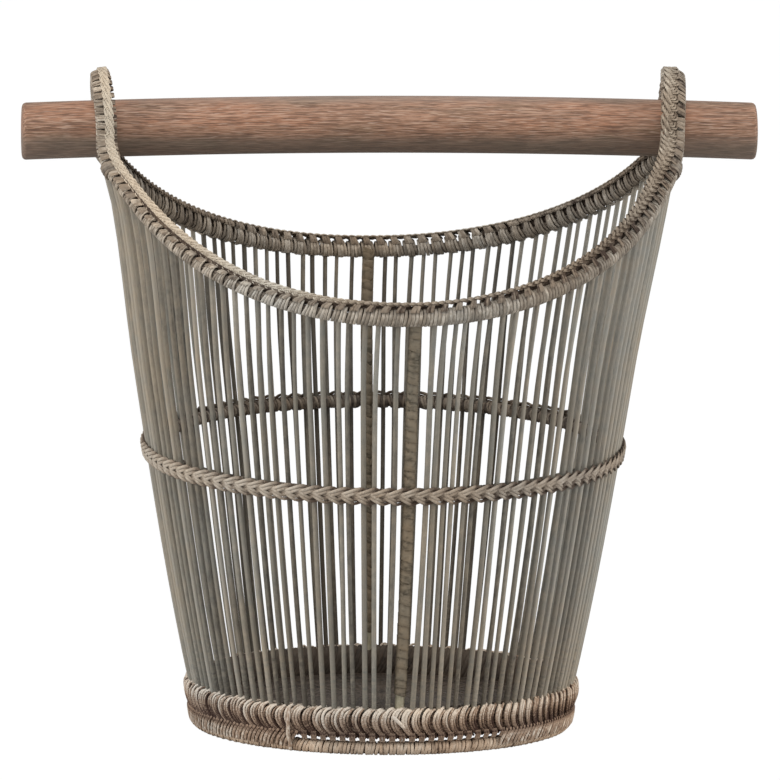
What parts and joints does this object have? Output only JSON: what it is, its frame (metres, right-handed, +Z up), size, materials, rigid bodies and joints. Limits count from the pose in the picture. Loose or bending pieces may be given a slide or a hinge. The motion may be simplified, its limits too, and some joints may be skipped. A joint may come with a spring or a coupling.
{
  "type": "carrying basket",
  "caption": "Round open cane basket with upright rod walls, a bound saddle-shaped rim drawn up into ears, and a wooden carrying pole lying through them.",
  "frame": {"origin": "on the ground at the middle of the foot ring", "axes": "+Z up, X along the carrying pole through the two ears, -Y the front"},
  "size_m": [0.4494, 0.3276, 0.4049],
  "materials": {
    "weathered_cane": "grey-brown weathered cane, split and bound, dry and lightly fibrous",
    "warm_cane": "warm brown split cane with paler skin streaks",
    "pale_cane": "pale plaited cane",
    "dark_cane": "dark brown cane, close woven",
    "brown_wood": "red-brown oiled wood with fine straight grain, satin"
  },
  "bodies": {
    "basket": {"ear_tie_left": "dark_cane", "ear_tie_right": "dark_cane", "floor": "dark_cane", "foot_ring": "warm_cane", "middle_hoop_left": "weathered_cane", "middle_hoop_right": "weathered_cane", "middle_plait": "weathered_cane", "rim_binding_back": "weathered_cane", "rim_binding_front": "weathered_cane", "rim_binding_left_ear": "weathered_cane", "rim_binding_right_ear": "weathered_cane", "rim_hoop": "weathered_cane", "rim_plait": "pale_cane", "stake_back": "weathered_cane", "stake_binding_back": "warm_cane", "stake_binding_front": "warm_cane", "stake_front": "weathered_cane", "wall_left_01": "weathered_cane", "wall_left_02": "weathered_cane", "wall_left_03": "weathered_cane", "wall_left_04": "weathered_cane", "wall_left_05": "weathered_cane", "wall_left_06": "weathered_cane", "wall_left_07": "weathered_cane", "wall_left_08": "weathered_cane", "wall_left_09": "weathered_cane", "wall_left_10": "weathered_cane", "wall_right_01": "weathered_cane", "wall_right_02": "weathered_cane", "wall_right_03": "weathered_cane", "wall_right_04": "weathered_cane", "wall_right_05": "weathered_cane", "wall_right_06": "weathered_cane", "wall_right_07": "weathered_cane", "wall_right_08": "weathered_cane", "wall_right_09": "weathered_cane", "wall_right_10": "weathered_cane"},
    "pole": {"pole": "brown_wood"}
  },
  "joints": [
    {"name": "pole_turn", "type": "hinge", "parent": "basket", "child": "pole", "pos_m": [0, 0, 0.3675], "axis": [1, 0, 0], "continuous": true}
  ]
}
